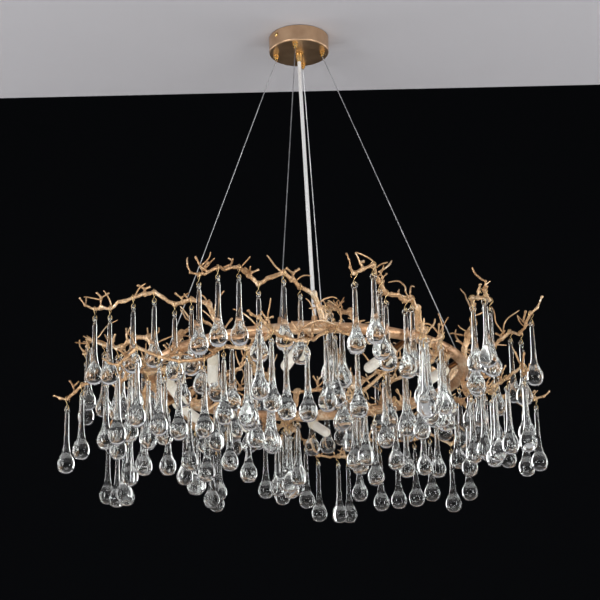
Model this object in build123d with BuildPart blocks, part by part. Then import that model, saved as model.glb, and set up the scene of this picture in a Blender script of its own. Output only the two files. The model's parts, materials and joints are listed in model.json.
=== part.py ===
"""Branch chandelier: a bark ring on four wires, with knobbly twigs and rows of hanging glass drops.

Millimetres, +Z up. The origin is on the ceiling plane, on the axis of the canopy. Angles are
measured round the axis from the near side, and twig heights are measured from the plane of the ring.
"""

import math
import os
from dataclasses import dataclass

from build123d import *

os.makedirs("parts", exist_ok=True)

# Canopy and its bracket
canopy_diameter = 102.0
canopy_height = 28.0
canopy_wall = 1.2
canopy_edge_radius = 2.5
bracket_width = 20.0
bracket_thickness = 1.6
bracket_tab_height = 14.0
bracket_wall_gap = 1.0
ceiling_hole_spacing = 60.0
ceiling_hole_diameter = 5.0
side_screw_angle = -48.0
side_screw_diameter = 4.0
side_screw_head_diameter = 7.0
side_screw_head_height = 2.4
side_screw_depth = 8.5
side_screw_length = 8.0
hole_clearance = 0.2

# Cord outlet and terminal block in the canopy
cord_diameter = 6.0
cord_clearance = 0.2
gland_thread_diameter = 9.8
gland_thread_length = 7.0
gland_collar_diameter = 15.0
gland_collar_height = 2.5
gland_nose_diameter = 8.0
gland_shoulder_diameter = 12.0
gland_nose_length = 14.0
gland_nut_width = 14.0
gland_nut_height = 3.5
terminal_length = 24.0
terminal_width = 16.0
terminal_height = 9.0
terminal_screw_diameter = 3.4
terminal_screw_pitch = 8.0
terminal_screw_depth = 2.0
terminal_edge = 1.0

# Wire grippers in the canopy floor
wire_count = 4
wire_angle = -9.0
wire_diameter = 1.5
wire_clearance = 0.15
wire_tail = 12.0
wire_bend_radius = 12.0
gripper_circle_diameter = 80.0
gripper_thread_diameter = 7.8
gripper_thread_length = 6.5
gripper_collar_diameter = 9.4
gripper_collar_height = 2.0
gripper_barrel_diameter = 8.4
gripper_barrel_length = 6.5
gripper_lip = 1.2
gripper_roof = 1.0
gripper_nut_width = 11.0
gripper_nut_height = 3.0
plunger_diameter = 5.2
plunger_head_diameter = 6.3
plunger_head_height = 1.4
plunger_reach = 3.5
plunger_bore_diameter = 2.8
plunger_mouth_diameter = 4.2
plunger_tip_radius = 0.4
plunger_clearance = 0.05

# Ring, its joint sleeves and the anchors of the wires
ring_drop = 604.0
ring_radius = 252.0
tube_diameter = 16.4
sleeve_diameter = 19.6
sleeve_length = 37.0
sleeve_web = 2.0
seat_gap = 0.1
anchor_diameter = 6.4
anchor_length = 20.0
anchor_depth = 8.0
inlet_angle = 3.0
inlet_diameter = 9.0
inlet_length = 20.0
inlet_depth = 8.0
cord_bend_radius = 40.0
cord_straight = 16.0

# Lamps inside the ring
lamp_count = 10
lamp_angle = 2.5
lamp_inward = 0.66
lamp_down = 0.55
lamp_sideways = 0.51
arm_diameter = 8.0
arm_length = 30.0
holder_diameter = 17.0
holder_neck_diameter = 11.0
holder_length = 16.0
holder_neck_length = 6.0
lamp_base_diameter = 14.0
lamp_base_length = 4.0
lamp_diameter = 16.0
lamp_length = 40.0

# Glass drops and their wire hooks
drop_length = 101.0
drop_ball_diameter = 27.0
drop_neck_diameter = 7.0
drop_waist_diameter = 8.6
drop_neck_length = 48.0
drop_ball_meeting = 52.0
drop_shoulder = 2.6
eye_radius = 3.9
eye_thickness = 3.4
eye_hole_diameter = 5.0
hook_wire_diameter = 1.0
hook_eye_radius = 3.4
hook_stem = 2.0
hook_neck_radius = 1.2
hook_loop_arc = 318.0
hook_play = 1.2
hook_gap = 0.3

# Twigs: straight lengths between knuckles, each a little thinner than the one before
trunk_radius = 4.6
carrier_root_radius = 3.3
carrier_end_radius = 2.3
tip_radius = 1.5
spur_radius = 1.7
knuckle_swell = 1.42
knuckle_inset = 0.45
carrier_lead = 14.0
knee_share = 0.85
knee_lead_share = 0.6
foot_cut_share = 3.0

# Zigzag of the carriers: hook spacing, and offsets of the hooks from the straight line of a row
hook_pitches = (28.5, 34.0, 28.5, 37.0, 29.0, 31.5)
hook_sways = (0.0, -9.0, 6.0, 10.0, -4.0, -5.0, 7.0)
hook_lifts = (0.0, 14.0, -5.0, 17.0, 5.0, -12.0, -8.0)

# Outer rows: every second twig climbs above the ring, the others hang below it
outer_rows = 20
outer_first_angle = -1.6
outer_heading = 67.0
high_start_radius = 280.0
low_start_radius = 262.0
high_drops = 6
low_drops = 7
outer_foot_lead = 8.0
outer_heights = [
    (54, 66), (-20, -38), (48, 50), (-20, -34), (52, 62),
    (-34, -54), (46, 64), (-20, -28), (60, 46), (-36, -54),
    (54, 84), (-26, -46), (62, 88), (-20, -32), (54, 76),
    (-38, -58), (46, 62), (-28, -32), (58, 70), (-28, -46),
]

# Inner rows, between the lamps
inner_rows = 10
inner_first_angle = 13.7
inner_heading = 176.0
inner_start_radius = 225.0
inner_high_drops = 4
inner_low_drops = 5
inner_foot_lead = 5.0
inner_heights = [
    (34, 52), (-28, -44), (40, 26), (-22, -50), (34, 56),
    (-30, -38), (30, 48), (-36, -54), (38, 60), (-24, -40),
]

# Lengths that the twigs' free tips and side spurs take in turn
spur_climbs = (16.0, 24.0, 12.0)
spur_side = 9.0
tip_climbs = (10.0, 4.0, 14.0, 7.0)

canopy_floor = -canopy_height + canopy_wall
tube_radius = tube_diameter / 2
sleeve_half_angle = math.degrees(sleeve_length / 2 / ring_radius)
web_half_angle = math.degrees(sleeve_web / 2 / ring_radius)
up = Vector(0, 0, 1)


def ring_point(angle, radius, height):
    """Point at an angle and radius, a height above the plane of the ring."""
    turn = math.radians(angle)
    return Vector(radius * math.sin(turn), -radius * math.cos(turn), height - ring_drop)


def outward(angle):
    """Horizontal direction away from the axis."""
    turn = math.radians(angle)
    return Vector(math.sin(turn), -math.cos(turn), 0)


def sideways(angle):
    """Horizontal direction along the ring, towards larger angles."""
    turn = math.radians(angle)
    return Vector(math.cos(turn), math.sin(turn), 0)


def section_plane(angle):
    """Upright plane through the axis, its X pointing outwards, at the height of the ring."""
    return Plane(origin=(0, 0, -ring_drop), x_dir=outward(angle), z_dir=-sideways(angle))


def ring_length(from_angle, to_angle, radius):
    """Round bar bent along the ring between two angles."""
    with BuildPart() as bar:
        with BuildSketch(section_plane(from_angle)):
            with Locations((ring_radius, 0)):
                Circle(radius)
        revolve(axis=Axis.Z, revolution_arc=to_angle - from_angle)
    return bar.part


def seat_radius(angle, half_width):
    """Radius of what lies under a foot on the ring: the tube, or a sleeve at either joint."""
    from_joint = abs((angle + 90) % 180 - 90)
    on_sleeve = from_joint * math.radians(ring_radius) < sleeve_length / 2 + half_width
    return (sleeve_diameter / 2 if on_sleeve else tube_radius) + seat_gap


def foot_cut(angle, half_width):
    """Bar that shapes a foot so that it sits on the ring."""
    reach = math.degrees(foot_cut_share * half_width / ring_radius)
    return ring_length(angle - reach, angle + reach, seat_radius(angle, half_width))


# Bracket: a strap against the ceiling with two tabs turned down for the side screws
strap_plane = Plane(origin=(0, 0, 0), x_dir=outward(side_screw_angle), z_dir=(0, 0, 1))
canopy_bore = canopy_diameter / 2 - canopy_wall
tab_face = math.sqrt(canopy_bore**2 - (bracket_width / 2) ** 2) - bracket_wall_gap
screw_plane = Plane(
    origin=(0, 0, -side_screw_depth), x_dir=(0, 0, 1), z_dir=outward(side_screw_angle)
)
with BuildPart() as mounting_bracket:
    with BuildSketch(Plane(strap_plane.origin, strap_plane.x_dir, strap_plane.y_dir)):
        with BuildLine():
            Polyline(
                (-tab_face, 0),
                (tab_face, 0),
                (tab_face, bracket_tab_height),
                (tab_face - bracket_thickness, bracket_tab_height),
                (tab_face - bracket_thickness, bracket_thickness),
                (bracket_thickness - tab_face, bracket_thickness),
                (bracket_thickness - tab_face, bracket_tab_height),
                (-tab_face, bracket_tab_height),
                close=True,
            )
        make_face()
    extrude(amount=bracket_width / 2, both=True)
    with Locations(strap_plane):
        with GridLocations(ceiling_hole_spacing, 1, 2, 1):
            Hole(ceiling_hole_diameter / 2)
    with BuildSketch(screw_plane):
        Circle(side_screw_diameter / 2 + hole_clearance)
    extrude(amount=canopy_diameter, both=True, mode=Mode.SUBTRACT)
mounting_bracket.part.label = "mounting_bracket"

# Canopy: a spun cup, open to the ceiling, drilled for the cord, the grippers and the side screws
with BuildPart() as canopy_cup:
    Cylinder(
        canopy_diameter / 2, canopy_height, align=(Align.CENTER, Align.CENTER, Align.MAX)
    )
    fillet(canopy_cup.edges().sort_by(Axis.Z)[0], canopy_edge_radius)
    offset(amount=-canopy_wall, openings=canopy_cup.faces().sort_by(Axis.Z)[-1])
    with BuildSketch(Plane.XY.offset(-canopy_height)):
        Circle(gland_thread_diameter / 2 + hole_clearance)
        with PolarLocations(gripper_circle_diameter / 2, wire_count, start_angle=wire_angle - 90):
            Circle(gripper_thread_diameter / 2 + hole_clearance)
    extrude(amount=canopy_height / 2, mode=Mode.SUBTRACT)
    with BuildSketch(screw_plane):
        Circle(side_screw_diameter / 2 + hole_clearance)
    extrude(amount=canopy_diameter, both=True, mode=Mode.SUBTRACT)
canopy_cup.part.label = "canopy_cup"

# Side screws: domed heads outside the wall, shanks through the wall and the tabs
dome_rise = side_screw_head_height / 2
dome_radius = ((side_screw_head_diameter / 2) ** 2 + dome_rise**2) / (2 * dome_rise)
dome_middle = side_screw_head_height - dome_radius
dome_angle = math.degrees(math.acos(side_screw_head_diameter / 2 / dome_radius))
with BuildPart() as side_screw:
    with BuildSketch(Plane.XZ):
        with BuildLine():
            Polyline(
                (0, -side_screw_length),
                (side_screw_diameter / 2, -side_screw_length),
                (side_screw_diameter / 2, 0),
                (side_screw_head_diameter / 2, 0),
                (side_screw_head_diameter / 2, side_screw_head_height / 2),
            )
            CenterArc((0, dome_middle), dome_radius, dome_angle, 90 - dome_angle)
            Line((0, side_screw_head_height), (0, -side_screw_length))
        make_face()
    revolve(axis=Axis.Z)
with BuildPart() as canopy_screws:
    for facing in (side_screw_angle, side_screw_angle + 180):
        head_seat = outward(facing) * (canopy_diameter / 2) - up * side_screw_depth
        with Locations(Plane(origin=head_seat, x_dir=up, z_dir=outward(facing))):
            add(side_screw.part)
canopy_screws.part.label = "canopy_screws"

# Terminal block under the strap
with BuildPart() as terminal_block:
    with Locations(strap_plane.offset(-bracket_thickness)):
        Box(
            terminal_length, terminal_width, terminal_height,
            align=(Align.CENTER, Align.CENTER, Align.MAX),
        )
    fillet(terminal_block.edges().filter_by(Axis.Z), terminal_edge)
    with Locations(strap_plane.offset(-bracket_thickness - terminal_height)):
        with GridLocations(terminal_screw_pitch, terminal_width / 2, 3, 2):
            Cylinder(
                terminal_screw_diameter / 2, terminal_screw_depth,
                align=(Align.CENTER, Align.CENTER, Align.MIN), mode=Mode.SUBTRACT,
            )
terminal_block.part.label = "terminal_block"

# Cord gland: thread through the canopy floor, collar against it, tapered nose round the cord
with BuildPart() as cable_gland:
    with BuildSketch(Plane.XZ):
        with BuildLine():
            Polyline(
                (cord_diameter / 2 + cord_clearance, gland_thread_length - canopy_height),
                (gland_thread_diameter / 2, gland_thread_length - canopy_height),
                (gland_thread_diameter / 2, -canopy_height),
                (gland_collar_diameter / 2, -canopy_height),
                (gland_collar_diameter / 2, -canopy_height - gland_collar_height),
                (gland_shoulder_diameter / 2, -canopy_height - gland_collar_height),
                (gland_nose_diameter / 2, -canopy_height - gland_collar_height - gland_nose_length),
                (
                    cord_diameter / 2 + cord_clearance,
                    -canopy_height - gland_collar_height - gland_nose_length,
                ),
                close=True,
            )
        make_face()
    revolve(axis=Axis.Z)
cable_gland.part.label = "cable_gland"

with BuildPart() as gland_nut:
    with BuildSketch(Plane.XY.offset(canopy_floor)):
        RegularPolygon(gland_nut_width / 2, 6, major_radius=False)
        Circle(gland_thread_diameter / 2 + seat_gap, mode=Mode.SUBTRACT)
    extrude(amount=gland_nut_height)
gland_nut.part.label = "gland_nut"

# Wire grippers: threaded barrels with a lip that traps the release plunger
barrel_foot = -canopy_height - gripper_barrel_length
lip_top = barrel_foot + gripper_lip
chamber_roof = -canopy_height - gripper_roof
with BuildPart() as gripper_barrel:
    with BuildSketch(Plane.XZ):
        with BuildLine():
            Polyline(
                (wire_diameter / 2 + wire_clearance, gripper_thread_length - canopy_height),
                (gripper_thread_diameter / 2, gripper_thread_length - canopy_height),
                (gripper_thread_diameter / 2, -canopy_height),
                (gripper_collar_diameter / 2, -canopy_height),
                (gripper_collar_diameter / 2, -canopy_height - gripper_collar_height),
                (gripper_barrel_diameter / 2, -canopy_height - gripper_collar_height),
                (gripper_barrel_diameter / 2, barrel_foot),
                (plunger_diameter / 2 + plunger_clearance, barrel_foot),
                (plunger_diameter / 2 + plunger_clearance, lip_top),
                (plunger_head_diameter / 2 + plunger_clearance, lip_top),
                (plunger_head_diameter / 2 + plunger_clearance, chamber_roof),
                (wire_diameter / 2 + wire_clearance, chamber_roof),
                close=True,
            )
        make_face()
    revolve(axis=Axis.Z)

with BuildPart() as gripper_plunger:
    with BuildSketch(Plane.XZ):
        with BuildLine():
            plunger_tip = barrel_foot - plunger_reach
            Polyline(
                (plunger_bore_diameter / 2, lip_top + plunger_head_height),
                (plunger_head_diameter / 2, lip_top + plunger_head_height),
                (plunger_head_diameter / 2, lip_top),
                (plunger_diameter / 2, lip_top),
                (plunger_diameter / 2, plunger_tip),
                (plunger_mouth_diameter / 2, plunger_tip),
                (plunger_bore_diameter / 2, barrel_foot),
                close=True,
            )
        make_face()
    revolve(axis=Axis.Z)
    fillet(gripper_plunger.edges().group_by(Axis.Z)[0].sort_by(SortBy.LENGTH)[-1], plunger_tip_radius)

with BuildPart() as gripper_nut:
    with BuildSketch(Plane.XY.offset(canopy_floor)):
        RegularPolygon(gripper_nut_width / 2, 6, major_radius=False)
        Circle(gripper_thread_diameter / 2 + seat_gap, mode=Mode.SUBTRACT)
    extrude(amount=gripper_nut_height)

wire_angles = [wire_angle + index * 360 / wire_count for index in range(wire_count)]
gripper_places = [
    Location(outward(angle) * (gripper_circle_diameter / 2), (0, 0, angle)) for angle in wire_angles
]
with BuildPart() as gripper_barrels:
    with Locations(*gripper_places):
        add(gripper_barrel.part)
gripper_barrels.part.label = "gripper_barrels"

with BuildPart() as gripper_nuts:
    with Locations(*gripper_places):
        add(gripper_nut.part)
gripper_nuts.part.label = "gripper_nuts"

plunger_names = ("plunger_near", "plunger_right", "plunger_far", "plunger_left")
plungers = []
for plunger_name, place in zip(plunger_names, gripper_places):
    with BuildPart() as plunger:
        with Locations(place):
            add(gripper_plunger.part)
    plunger.part.label = plunger_name
    plungers.append(plunger)

# Ring: two half hoops that meet on the webs of two sleeves, at the near side and the far side
with BuildPart() as ring_right_half:
    add(ring_length(web_half_angle, 180 - web_half_angle, tube_radius))
ring_right_half.part.label = "ring_right_half"

with BuildPart() as ring_left_half:
    add(ring_length(180 + web_half_angle, 360 - web_half_angle, tube_radius))
ring_left_half.part.label = "ring_left_half"

# Route of the power cord: down through the gland, then straight to the inlet on the near sleeve
gland_tip = -canopy_height - gland_collar_height - gland_nose_length
cord_start = Vector(0, 0, -bracket_thickness - terminal_height)
cord_bend = Vector(0, 0, gland_tip - cord_straight)
inlet_foot = ring_point(inlet_angle, ring_radius, 0)
inlet_direction = (cord_bend - inlet_foot).normalized()
cord_end = inlet_foot + inlet_direction * (inlet_length - inlet_depth)

with BuildPart() as ring_sleeves:
    add(ring_length(-sleeve_half_angle, sleeve_half_angle, sleeve_diameter / 2))
    with Locations(Plane(origin=inlet_foot, z_dir=inlet_direction)):
        Cylinder(
            inlet_diameter / 2, inlet_length, align=(Align.CENTER, Align.CENTER, Align.MIN)
        )
    with Locations(Plane(origin=cord_end, z_dir=inlet_direction)):
        Cylinder(
            cord_diameter / 2 + cord_clearance, inlet_length,
            align=(Align.CENTER, Align.CENTER, Align.MIN), mode=Mode.SUBTRACT,
        )
    add(ring_length(180 - sleeve_half_angle, 180 + sleeve_half_angle, sleeve_diameter / 2))
    for joint_angle in (0, 180):
        for turn in (web_half_angle, -web_half_angle - 2 * sleeve_half_angle):
            add(
                ring_length(
                    joint_angle + turn, joint_angle + turn + 2 * sleeve_half_angle,
                    tube_radius + seat_gap,
                ),
                mode=Mode.SUBTRACT,
            )
ring_sleeves.part.label = "ring_sleeves"

# Suspension wires and the drilled anchors that hold them on the ring
bend_height = barrel_foot - plunger_reach
with BuildPart() as wire_anchors:
    for angle in wire_angles:
        foot = ring_point(angle, ring_radius, 0)
        bend = outward(angle) * (gripper_circle_diameter / 2) + up * bend_height
        direction = (bend - foot).normalized()
        with Locations(Plane(origin=foot, z_dir=direction)):
            Cylinder(
                anchor_diameter / 2, anchor_length, align=(Align.CENTER, Align.CENTER, Align.MIN)
            )
        with Locations(Plane(origin=foot + direction * (anchor_length - anchor_depth), z_dir=direction)):
            Cylinder(
                wire_diameter / 2 + wire_clearance, anchor_depth,
                align=(Align.CENTER, Align.CENTER, Align.MIN), mode=Mode.SUBTRACT,
            )
        add(foot_cut(angle, anchor_diameter / 2), mode=Mode.SUBTRACT)
wire_anchors.part.label = "wire_anchors"


def tube_along(points, bend_radius, diameter):
    """Round cord along straight runs joined by a tangent arc."""
    with BuildPart() as cord:
        with BuildLine():
            route = FilletPolyline(*points, radius=bend_radius)
        with BuildSketch(Plane(origin=points[0], z_dir=points[1] - points[0])):
            Circle(diameter / 2)
        sweep(path=route)
    filled = cord.part.volume / (math.pi * diameter**2 / 4 * route.length)
    print(f"cord {route.length:.1f} mm, bend {bend_radius} mm, volume against section {filled:.5f}")
    return cord.part


with BuildPart() as suspension_wires:
    for angle in wire_angles:
        foot = ring_point(angle, ring_radius, 0)
        bend = outward(angle) * (gripper_circle_diameter / 2) + up * bend_height
        direction = (bend - foot).normalized()
        tail = Vector(bend.X, bend.Y, wire_tail - canopy_height)
        end = foot + direction * (anchor_length - anchor_depth)
        add(tube_along([tail, bend, end], wire_bend_radius, wire_diameter))
suspension_wires.part.label = "suspension_wires"

with BuildPart() as power_cord:
    add(tube_along([cord_start, cord_bend, cord_end], cord_bend_radius, cord_diameter))
power_cord.part.label = "power_cord"

# Lamps: tube arm, holder and lamp on one slanting axis, repeated round the ring
lamp_foot = ring_point(lamp_angle, ring_radius, 0)
lamp_direction = (
    outward(lamp_angle) * -lamp_inward - up * lamp_down - sideways(lamp_angle) * lamp_sideways
).normalized()
lamp_plane = Plane(origin=lamp_foot, x_dir=lamp_direction, z_dir=lamp_direction.cross(up))
lamp_axis = Axis(lamp_foot, lamp_direction)
lamp_turns = [Location((0, 0, 0), (0, 0, index * 360 / lamp_count)) for index in range(lamp_count)]

with BuildPart() as lamp_arms:
    for index, turn in enumerate(lamp_turns):
        with Locations(turn * Location(Plane(origin=lamp_foot, z_dir=lamp_direction))):
            Cylinder(arm_diameter / 2, arm_length, align=(Align.CENTER, Align.CENTER, Align.MIN))
        add(foot_cut(lamp_angle + index * 360 / lamp_count, arm_diameter / 2), mode=Mode.SUBTRACT)
lamp_arms.part.label = "lamp_arms"

with BuildPart() as holder:
    with BuildSketch(lamp_plane):
        with BuildLine():
            Polyline(
                (arm_length, 0),
                (arm_length, holder_neck_diameter / 2),
                (arm_length + holder_neck_length, holder_diameter / 2),
                (arm_length + holder_length, holder_diameter / 2),
                (arm_length + holder_length, 0),
                close=True,
            )
        make_face()
    revolve(axis=lamp_axis)
with BuildPart() as lamp_holders:
    with Locations(*lamp_turns):
        add(holder.part)
lamp_holders.part.label = "lamp_holders"

lamp_seat = arm_length + holder_length
lamp_shoulder = lamp_seat + lamp_base_length
lamp_dome = lamp_seat + lamp_length - lamp_diameter / 2
with BuildPart() as lamp:
    with BuildSketch(lamp_plane):
        with BuildLine():
            Polyline(
                (lamp_seat, 0),
                (lamp_seat, lamp_base_diameter / 2),
                (lamp_shoulder, lamp_base_diameter / 2),
                (lamp_shoulder, lamp_diameter / 2),
                (lamp_dome, lamp_diameter / 2),
            )
            CenterArc((lamp_dome, 0), lamp_diameter / 2, 0, 90)
            Line((lamp_seat + lamp_length, 0), (lamp_seat, 0))
        make_face()
    revolve(axis=lamp_axis)
with BuildPart() as lamps:
    with Locations(*lamp_turns):
        add(lamp.part)
lamps.part.label = "lamps"

# One glass drop, with the middle of its eye at the origin and the hole of the eye along X
ball_radius = drop_ball_diameter / 2
ball_height = ball_radius - drop_length
meeting = math.radians(drop_ball_meeting)
neck_top = -eye_radius - drop_shoulder
with BuildPart() as drop:
    with BuildSketch(Plane.XZ):
        with BuildLine():
            ThreePointArc(
                (0, drop_shoulder / 2 - eye_radius),
                (drop_neck_diameter / 3, -eye_radius),
                (drop_neck_diameter / 2, neck_top),
            )
            Line((drop_neck_diameter / 2, neck_top), (drop_waist_diameter / 2, neck_top - drop_neck_length))
            Spline(
                (drop_waist_diameter / 2, neck_top - drop_neck_length),
                (ball_radius * math.cos(meeting), ball_height + ball_radius * math.sin(meeting)),
                tangents=(
                    (drop_waist_diameter / 2 - drop_neck_diameter / 2, -drop_neck_length),
                    (math.sin(meeting), -math.cos(meeting)),
                ),
            )
            CenterArc((0, ball_height), ball_radius, drop_ball_meeting, -90 - drop_ball_meeting)
            Line((0, -drop_length), (0, drop_shoulder / 2 - eye_radius))
        make_face()
    revolve(axis=Axis.Z)
    with Locations(Rotation(0, 90, 0)):
        Torus(eye_radius, eye_thickness / 2)
        Cylinder(eye_hole_diameter / 2, eye_thickness, mode=Mode.SUBTRACT)

# One hook, bent from wire: an eye through the drop, a short stem and a ring round the twig
hook_wire = hook_wire_diameter / 2
hook_foot = eye_hole_diameter / 2 - hook_play - hook_wire
hook_eye_height = hook_foot + hook_eye_radius
twig_ring_radius = carrier_root_radius * knuckle_swell + hook_gap + hook_wire


def neck_height(loop_radius):
    """Distance from the middle of a loop to the end of the straight stem."""
    return math.sqrt((loop_radius + hook_neck_radius) ** 2 - hook_neck_radius**2)


def bend_loop(loop_radius, stem_end, direction):
    """Neck and open loop of wire at one end of the stem, in the plane of the current lines."""
    neck_turn = math.degrees(math.acos(hook_neck_radius / (loop_radius + hook_neck_radius)))
    neck = JernArc(stem_end, (0, direction), hook_neck_radius, -direction * neck_turn)
    return neck, JernArc(neck @ 1, neck % 1, loop_radius, direction * hook_loop_arc)


stem_foot = hook_eye_height + neck_height(hook_eye_radius)
stem_top = stem_foot + hook_stem
twig_ring_height = stem_top + neck_height(twig_ring_radius)
with BuildPart() as hook:
    with BuildLine(Plane.XZ) as eye_loop:
        bend_loop(hook_eye_radius, (0, stem_foot), -1)
        Line((0, stem_foot), (0, stem_top))
    with BuildLine(Plane.YZ) as twig_loop:
        bend_loop(twig_ring_radius, (0, stem_top), 1)
    with BuildSketch(Plane.XY.offset(stem_foot)):
        Circle(hook_wire)
    sweep(path=Wire([*eye_loop.edges(), *twig_loop.edges()]))


@dataclass
class Row:
    """A zigzag carrier twig with a hook at each of its knuckles."""

    name: str
    angle: float
    foot: Vector
    knee: Vector
    first: Vector
    along: Vector
    slope: float
    drops: int
    turn: int

    def place(self, count):
        """Distance of a hook along the row, and its offsets from the straight line."""
        pitches = [hook_pitches[(step + self.turn) % len(hook_pitches)] for step in range(count)]
        if count == 0:
            return 0.0, 0.0, 0.0
        pick = (count + 2 * self.turn) % len(hook_sways)
        return sum(pitches), hook_sways[pick], hook_lifts[pick]

    def line_point(self, distance):
        """Point on the straight line of the row."""
        return self.first + self.along * distance + up * (distance * self.slope)

    def knuckle_point(self, count):
        """Middle of the knuckle that carries a hook."""
        distance, sway, lift = self.place(count)
        return self.line_point(distance) + self.along.cross(up) * sway + up * lift

    def twig_radius(self, count):
        """Radius of the carrier after a hook, counted from the first one."""
        share = max(0, count + 1) / self.drops
        return carrier_root_radius + share * (carrier_end_radius - carrier_root_radius)

    def hook_sag(self, count):
        """How far a hook hangs down, so that its ring rests on top of the knuckle."""
        return twig_ring_radius - hook_wire - hook_gap - knuckle_swell * self.twig_radius(count - 1)

    def eyes(self):
        """Middles of the drops' eyes, one below each hook."""
        return [
            self.knuckle_point(count) - up * (twig_ring_height + self.hook_sag(count))
            for count in range(self.drops)
        ]

    def swing_angle(self):
        """Turn about Z that lays the hole of the eyes along the row."""
        return math.degrees(math.atan2(self.along.Y, self.along.X))


def make_row(name, angle, radius, heading, heights, drops, foot_lead, turn):
    """Row whose hooks run from a start angle and radius, at a heading from outwards."""
    first_height, last_height = heights
    course = math.radians(heading)
    row = Row(
        name=name,
        angle=angle + foot_lead,
        foot=ring_point(angle + foot_lead, ring_radius, 0),
        knee=ring_point(
            angle + foot_lead * knee_lead_share, (ring_radius + radius) / 2, first_height * knee_share
        ),
        first=ring_point(angle, radius, first_height),
        along=outward(angle) * math.cos(course) - sideways(angle) * math.sin(course),
        slope=0.0,
        drops=drops,
        turn=turn,
    )
    row.slope = (last_height - first_height) / row.place(drops - 1)[0]
    return row


rows = []
for index in range(outer_rows):
    high = outer_heights[index][0] > 0
    rows.append(
        make_row(
            f"drops_outer_{index + 1:02d}",
            outer_first_angle + index * 360 / outer_rows,
            high_start_radius if high else low_start_radius,
            outer_heading,
            outer_heights[index],
            high_drops if high else low_drops,
            outer_foot_lead,
            index,
        )
    )
for index in range(inner_rows):
    high = inner_heights[index][0] > 0
    rows.append(
        make_row(
            f"drops_inner_{index + 1:02d}",
            inner_first_angle + index * 360 / inner_rows,
            inner_start_radius,
            inner_heading,
            inner_heights[index],
            inner_high_drops if high else inner_low_drops,
            inner_foot_lead,
            index,
        )
    )


def twig_length(start, end, radius):
    """Straight length of twig from inside one knuckle to the knuckle at its end."""
    run = (end - start).normalized()
    with BuildPart() as length:
        with Locations(Plane(origin=end, z_dir=run)):
            Sphere(radius * knuckle_swell)
        with Locations(Plane(origin=start + run * (knuckle_inset * radius), z_dir=run)):
            Cylinder(
                radius, (end - start).length - 2 * knuckle_inset * radius,
                align=(Align.CENTER, Align.CENTER, Align.MIN),
            )
    return length.part


def twig(points, radii):
    """Lengths of twig through the points."""
    return [
        twig_length(start, end, radius) for start, end, radius in zip(points, points[1:], radii)
    ]


def spur(row, count, climb):
    """Forked twig that climbs from a knuckle in the middle of one length of a carrier."""
    before = row.knuckle_point(count)
    after = row.knuckle_point(count + 1)
    run = (after - before).normalized()
    upright = (up - run * run.dot(up)).normalized()
    node = (before + after) / 2
    elbow = node + upright * (climb / 2)
    fork = elbow - row.along * spur_side + up * (climb / 3)
    tip = elbow + row.along * spur_side + up * (climb / 2)
    with BuildPart() as knob:
        with Locations(Plane(origin=node, z_dir=run)):
            Sphere(row.twig_radius(count) * knuckle_swell)
    return [
        knob.part,
        *twig([node, elbow, tip], [spur_radius, tip_radius]),
        *twig([elbow, fork], [tip_radius]),
    ]


def branch(row):
    """One limb: a trunk from the ring, the zigzag carrier, a bent tip and side spurs."""
    knuckles = [row.knuckle_point(count) for count in range(row.drops)]
    climb = tip_climbs[row.turn % len(tip_climbs)]
    bend = knuckles[-1] + row.along * carrier_lead + up * (climb / 3)
    tip = bend + row.along * (carrier_lead / 2) + up * climb
    solids = twig(
        [row.foot, row.knee, *knuckles, bend, tip],
        [
            trunk_radius,
            carrier_root_radius,
            *[row.twig_radius(count) for count in range(row.drops - 1)],
            (carrier_end_radius + tip_radius) / 2,
            tip_radius,
        ],
    )
    for count in range(row.drops - 1):
        if (count + row.turn) % 2 == 0:
            solids.extend(spur(row, count, spur_climbs[(count + row.turn) % len(spur_climbs)]))
    with BuildPart() as limb:
        add(solids)
        add(foot_cut(row.angle, trunk_radius), mode=Mode.SUBTRACT)
    return limb.part


# Branches, in four groups round the ring
limb_groups = {"branches_near": [], "branches_right": [], "branches_far": [], "branches_left": []}
group_names = list(limb_groups)
for row in rows:
    quarter = int(((row.angle + 45) % 360) // 90)
    limb_groups[group_names[quarter]].append(branch(row))
branches = []
for group_name, limbs in limb_groups.items():
    with BuildPart() as branch_group:
        add(limbs)
    branch_group.part.label = group_name
    branches.append(branch_group)

# Hooks on every row, and the rows of drops that swing on them
hook_places = []
drop_rows = []
for row in rows:
    row_places = [Location(eye, (0, 0, row.swing_angle())) for eye in row.eyes()]
    hook_places.extend(row_places)
    with BuildPart() as drop_row:
        with Locations(*row_places):
            add(drop.part)
    drop_row.part.label = row.name
    drop_rows.append(drop_row)

with BuildPart() as drop_hooks:
    with Locations(*hook_places):
        add(hook.part)
drop_hooks.part.label = "drop_hooks"

pieces = [
    mounting_bracket, canopy_cup, canopy_screws, terminal_block, cable_gland, gland_nut,
    gripper_barrels, gripper_nuts, *plungers, suspension_wires, wire_anchors, power_cord,
    ring_right_half, ring_left_half, ring_sleeves, lamp_arms, lamp_holders, lamps,
    drop_hooks, *branches, *drop_rows,
]
for piece in pieces:
    export_step(piece.part, f"parts/{piece.part.label}.step", write_pcurves=False)
print(f"{len(pieces)} nodes, {len(hook_places)} drops")
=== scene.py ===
# %% [markdown]
# A branch chandelier: a bark ring hangs on four steel wires below a cup canopy, and knobbly
# twigs carry rows of glass drops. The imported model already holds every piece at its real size
# and place, so this lesson dresses it: it swaps plain solids for bark, blown glass and cord,
# and gives each remaining piece the finish of the real one.

import json
import math
import random

import bmesh
import bpy
from mathutils import Matrix, Vector, kdtree, noise


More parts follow.
